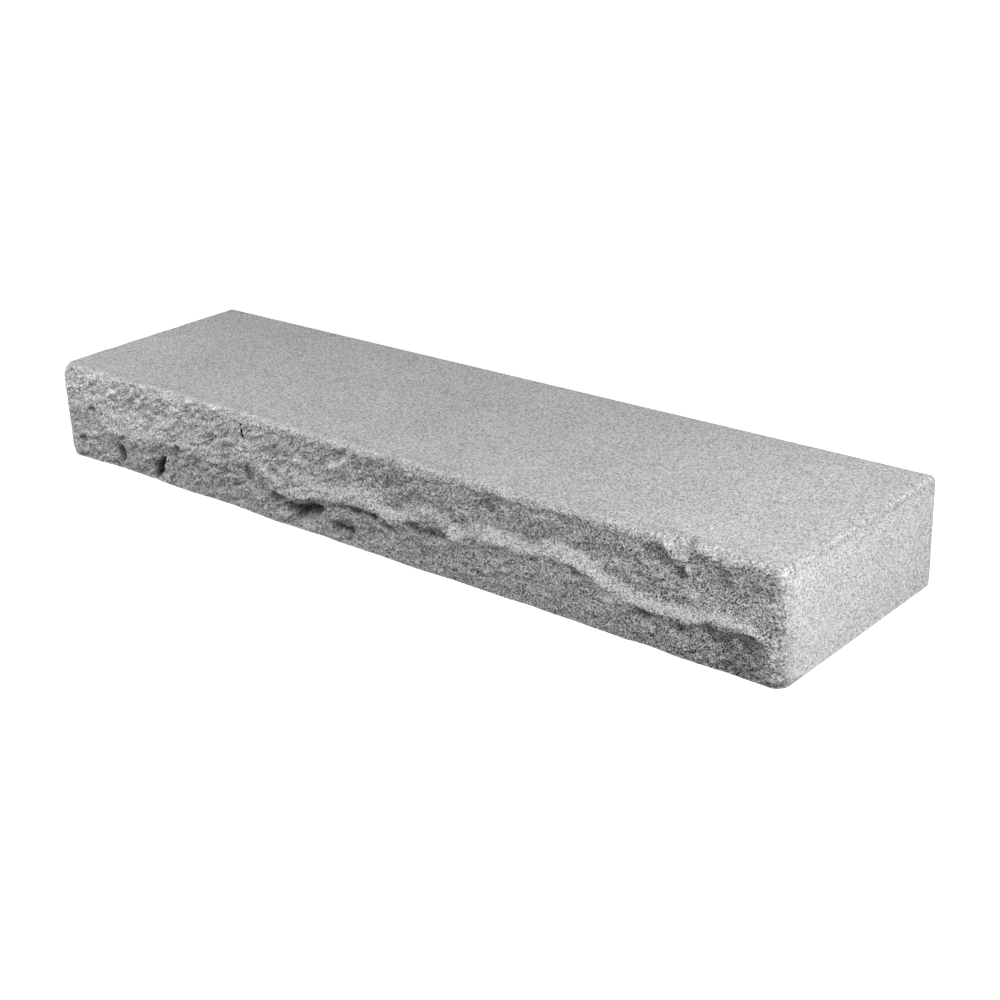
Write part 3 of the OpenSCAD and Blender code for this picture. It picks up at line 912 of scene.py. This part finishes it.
def mineral_color(t, at, share, painted_shade_and_stains, grain, fine, settings):
    """The grains of the stone, brought out or bleached by each finish."""
    stops = [
        (0.0, tuple(settings.mica)),
        (0.13, tuple(settings.quartz)),
        (0.32, tuple(0.5 * a + 0.5 * b for a, b in zip(settings.quartz, settings.stone))),
        (0.48, tuple(settings.stone)),
        (0.75, tuple(settings.feldspar)),
    ]
    minerals, flecks = (t.ramp(cells[0], stops, "CONSTANT") for cells in (grain, fine))
    minerals = t.blend(0.45, minerals, flecks)
    # flaming and bruising bleach the grain, the break brings it out, most at its right end
    along = t.add("ShaderNodeSeparateXYZ", {0: at})[0]
    rightward = t.math("MULTIPLY_ADD", along, 1.3, 0.2, clamp=True)
    bleach = t.mix(rightward, BLEACH["break_left"], BLEACH["break_right"])
    bleach = t.mix(share["broken"], BLEACH["flamed"], bleach)
    bleach = t.mix(share["end"], bleach, BLEACH["end"])
    bleach = t.mix(share["arris"], bleach, BLEACH["arris"])
    # bruised crystals and dust whiten what faces up on the break; this is partly painted light
    # from above, and painted light elsewhere on the riser whitens it too
    bruise_and_painted_light = t.math("MULTIPLY_ADD", share["upward"], 1.6, t.math("MULTIPLY", painted_shade_and_stains, -0.2),
                     clamp=True)
    bleach = t.mix(bruise_and_painted_light, bleach, BLEACH["bruise_and_painted_light"])
    return t.blend(bleach, minerals, tuple(0.78 * c for c in settings.stone) + (1.0,))


def finish_tone(t, share, painted_shade_and_stains):
    """How bright each finish is, with painted light where the break faces up, and the riser's
    painted shade, painted light and stains.
    """
    tone = t.mix(share["end"], TONE["flamed"], TONE["end"])
    # painted light: the break is brighter where it faces up
    tone = t.math("ADD", t.mix(share["broken"], tone, TONE["break"]),
                  t.math("MULTIPLY", share["upward"], 0.20))
    # the riser's painted shade and painted light, with its stains
    tone = t.math("SUBTRACT", tone, t.math("MULTIPLY", painted_shade_and_stains, SHADE_DEPTH))
    # painted light: where the end's finish runs round onto the riser, the corner is made as
    # bright as a lit end
    painted_corner_light = t.math("MULTIPLY", share["end"], share["pitched"])
    return t.math("ADD", tone, t.math("MULTIPLY", painted_corner_light, 0.25))


def tinted(t, at, share, base):
    """Faint clouds and tints of the stone, and each finish's own tint."""
    base = t.multiply(base, t.ramp(t.noise(at, 9.0, 3, 0.55)[0], CLOUD))
    tint = t.ramp(t.noise(at, 5.0, 1, 0.5, w=1.3)[0], TINT)
    amount = t.math("MAXIMUM", t.math("MULTIPLY", share["end"], 0.5),
                    t.mix(share["broken"], 0.45, 0.9))
    base = t.multiply(base, tint, amount)
    base = t.multiply(base, BREAK_TINT, share["broken"])
    return t.multiply(base, END_TINT, share["end"])


def mica_share(t, share, warped, grain_size):
    """Where flecks of dark mica lie over the grains."""
    books = t.voronoi(warped, 1 / (1.4 * grain_size))
    inside = t.remap(books["Distance"], 0.32, 0.38, 1.0, 0.0, "LINEAR")
    number = t.add("ShaderNodeSeparateColor", {0: books["Color"]})[0]
    chosen = t.math("LESS_THAN", number, t.mix(share["broken"], 0.25, 0.38))
    depth = t.mix(share["broken"], t.mix(share["end"], 0.77, 0.84), 0.9)
    return t.math("MULTIPLY", t.math("MULTIPLY", inside, chosen), depth)


def micro_relief(t, at, share, grain, fine, grain_size):
    """A normal: each grain stands at its own height, and the break is gritty."""
    grit = t.noise(at, 1 / (0.9 * grain_size), 3, 0.65)[0]
    height = t.math("ADD", t.math("MULTIPLY", grain[1], 0.5), t.math("MULTIPLY", fine[1], 0.3))
    height = t.math("ADD", height, t.math("MULTIPLY", grit, 0.8))
    strength = t.mix(share["broken"], 0.35, 1.0)
    strength = t.math("MULTIPLY", strength, t.mix(share["sawn"], 1.0, 0.3))
    inputs = {"Distance": 1.6 * MM, "Strength": strength, "Height": height}
    return t.add("ShaderNodeBump", inputs)[0]


def new_material(name):
    """An empty node material, and the short calls for its tree."""
    material = bpy.data.materials.new(name)
    material.use_nodes = True
    material.node_tree.nodes.clear()
    return material, Tree(material.node_tree)


def granite_material(settings):
    """Grain, tints, finishes and micro relief of the granite."""
    material, t = new_material("granite")
    at = t.add("ShaderNodeTexCoord")["Object"]
    share = finish_shares(t, at)
    # painted shade and painted light of the riser, with its stains
    painted_shade_and_stains = t.attribute("painted_shade_and_stains")
    size = settings.grain_size
    warp = t.noise(at, 1 / (1.5 * size), 2, 0.6)["Color"]
    shift = t.vector("SUBTRACT", warp, (0.5, 0.5, 0.5))
    warped = t.vector("ADD", at, t.vector("SCALE", shift, 0.6 * size))
    grain, fine = (
        t.add("ShaderNodeSeparateColor", {0: t.voronoi(warped, scale)["Color"]})
        for scale in (1 / size, 1.7 / size)
    )
    base = mineral_color(t, at, share, painted_shade_and_stains, grain, fine, settings)
    base = t.multiply(base, t.grey(finish_tone(t, share, painted_shade_and_stains)))
    base = tinted(t, at, share, base)
    # painted shade: the arris at an end is darkened against the highlight it catches
    worn = t.mix(share["pitched"], TONE["arris_painted_shade_tread"], TONE["arris_painted_shade_riser"])
    base = t.multiply(base, t.grey(t.mix(share["worn_end"], 1.0, worn)))
    # the mica is dark, and the tool mark is painted dark: painted shade of its groove, which the
    # mesh does not have
    mark = t.math("MULTIPLY", tool_mark(t, at), t.math("GREATER_THAN", share["broken"], 0.2))
    dark = t.math("MAXIMUM", mica_share(t, share, warped, size), mark)
    base = t.blend(dark, base, tuple(settings.mica) + (1.0,))

    shader = t.add("ShaderNodeBsdfPrincipled", {
        "Base Color": base,
        "Roughness": t.mix(fine[2], 0.62, 0.95),
        "Specular IOR Level": 0.04,
        "Normal": micro_relief(t, at, share, grain, fine, size),
    })
    t.add("ShaderNodeOutputMaterial", {"Surface": shader[0]})
    return material


# ---------------------------------------------------------------- the stage


def seen_rays(t):
    """1 for rays from the camera and from mirrors, 0 for rays that light the stone."""
    path = t.add("ShaderNodeLightPath")
    return t.math("MAXIMUM", path["Is Camera Ray"],
                  t.math("MAXIMUM", path["Is Glossy Ray"], path["Is Transmission Ray"]))


def make_floor(scene, stage):
    """The floor: what the camera sees of it is nearly white, and white far out."""
    mesh = bpy.data.meshes.new("floor")
    half = FLOOR_HALF
    mesh.from_pydata([(-half, -half, 0), (half, -half, 0), (half, half, 0), (-half, half, 0)],
                     [], [(0, 1, 2, 3)])
    floor = bpy.data.objects.new("floor", mesh)
    scene.collection.objects.link(floor)
    material, t = new_material("floor")
    seen = seen_rays(t)
    glow = t.remap(t.length(t.add("ShaderNodeTexCoord")["Object"]), 0.7, 2.2, 0.62, 1.0)
    color = t.blend(seen, tuple(stage.floor_glow) + (1.0,), tuple(stage.floor) + (1.0,))
    matte = t.add("ShaderNodeBsdfDiffuse", {"Color": color})[0]
    light = t.add("ShaderNodeEmission", {"Strength": t.math("MULTIPLY", glow, seen)})[0]
    both = t.add("ShaderNodeAddShader", {0: matte, 1: light})[0]
    t.add("ShaderNodeOutputMaterial", {"Surface": both})
    mesh.materials.append(material)


def make_world(scene, stage):
    """White where it is seen, and an even, dim light from all round."""
    world = bpy.data.worlds.new("studio")
    world.use_nodes = True
    world.node_tree.nodes.clear()
    t = Tree(world.node_tree)
    light, white = (
        t.add("ShaderNodeBackground", {"Color": (1, 1, 1, 1), "Strength": strength})[0]
        for strength in (stage.sky_level, 1.0)
    )
    both = t.add("ShaderNodeMixShader", {0: seen_rays(t), 1: light, 2: white})[0]
    t.add("ShaderNodeOutputWorld", {"Surface": both})
    scene.world = world


def make_lamp(scene, name, place, target, size, power):
    """A soft square lamp that points at a target."""
    lamp = bpy.data.lights.new(name, "AREA")
    lamp.shape = "SQUARE"
    lamp.size = size
    lamp.energy = power
    holder = bpy.data.objects.new(name, lamp)
    scene.collection.objects.link(holder)
    holder.location = place
    aim = Vector(target) - Vector(place)
    holder.rotation_euler = aim.to_track_quat("-Z", "Y").to_euler()
    holder.visible_camera = False


def make_camera(scene, stage):
    """The camera, set by its turn round the aim, its height angle, lean and distance."""
    camera = bpy.data.cameras.new("camera")
    camera.lens = stage.lens
    camera.sensor_width = 36
    camera.clip_end = 50
    holder = bpy.data.objects.new("camera", camera)
    scene.collection.objects.link(holder)
    az, el = stage.azimuth, stage.elevation
    back = Vector((math.sin(az) * math.cos(el), -math.cos(az) * math.cos(el), math.sin(el)))
    right = Vector((0, 0, 1)).cross(back).normalized()
    up = back.cross(right)
    across = math.cos(stage.roll) * right + math.sin(stage.roll) * up
    upward = math.cos(stage.roll) * up - math.sin(stage.roll) * right
    turn = Matrix((across, upward, back)).transposed()
    place = Vector(stage.aim) + back * stage.distance
    holder.matrix_world = Matrix.Translation(place) @ turn.to_4x4()
    scene.camera = holder


# ---------------------------------------------------------------- operators


class STEP_OT_block(Operator):
    """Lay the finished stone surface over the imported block"""

    bl_idname = "granite_step.block"
    bl_label = "Dress Block"

    def execute(self, context):
        scene = context.scene
        relief = scene.granite_break
        block = bpy.data.objects.new("granite_block", skin_mesh(scene.granite_skin))
        scene.collection.objects.link(block)
        values = {label(name): getattr(relief, name) for name in BREAK_LENGTHS}
        values["Seed"] = float(relief.seed)
        values["Material"] = granite_material(scene.granite_stone)
        run_tree(block, break_tree(), values)
        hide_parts(NODE)
        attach(block, BODY)
        return {"FINISHED"}


class STEP_OT_stage(Operator):
    """Set up the floor, the lamps, the world and the camera"""

    bl_idname = "granite_step.stage"
    bl_label = "Set Stage"

    def execute(self, context):
        scene = context.scene
        stage = scene.granite_stage
        make_floor(scene, stage)
        make_world(scene, stage)
        for lamp, power in zip(LAMPS, (stage.key_power, stage.front_power, stage.back_power)):
            make_lamp(scene, *lamp, power)
        make_camera(scene, stage)
        scene.view_settings.view_transform = "Standard"
        return {"FINISHED"}


class STEP_PT_panel(Panel):
    """The step's settings and its two operators"""

    bl_idname = "STEP_PT_panel"
    bl_label = "Granite Step"
    bl_space_type = "VIEW_3D"
    bl_region_type = "UI"
    bl_category = "Granite Step"

    def draw(self, context):
        scene = context.scene
        for title, group, operator in (
            ("Skin", scene.granite_skin, None),
            ("Break", scene.granite_break, None),
            ("Stone", scene.granite_stone, STEP_OT_block.bl_idname),
            ("Stage", scene.granite_stage, STEP_OT_stage.bl_idname),
        ):
            box = self.layout.box()
            box.label(text=title)
            for name in group.__annotations__:
                box.prop(group, name)
            if operator:
                box.operator(operator)


CLASSES = (SkinSettings, BreakSettings, StoneSettings, StageSettings,
           STEP_OT_block, STEP_OT_stage, STEP_PT_panel)


def register():
    for cls in CLASSES:
        bpy.utils.register_class(cls)
    bpy.types.Scene.granite_skin = PointerProperty(type=SkinSettings)
    bpy.types.Scene.granite_break = PointerProperty(type=BreakSettings)
    bpy.types.Scene.granite_stone = PointerProperty(type=StoneSettings)
    bpy.types.Scene.granite_stage = PointerProperty(type=StageSettings)


def unregister():
    del bpy.types.Scene.granite_stage
    del bpy.types.Scene.granite_stone
    del bpy.types.Scene.granite_break
    del bpy.types.Scene.granite_skin
    for cls in reversed(CLASSES):
        bpy.utils.unregister_class(cls)


def main():
    register()
    bpy.ops.granite_step.block()
    bpy.ops.granite_step.stage()
    bpy.context.view_layer.update()


if __name__ == "__main__":
    main()
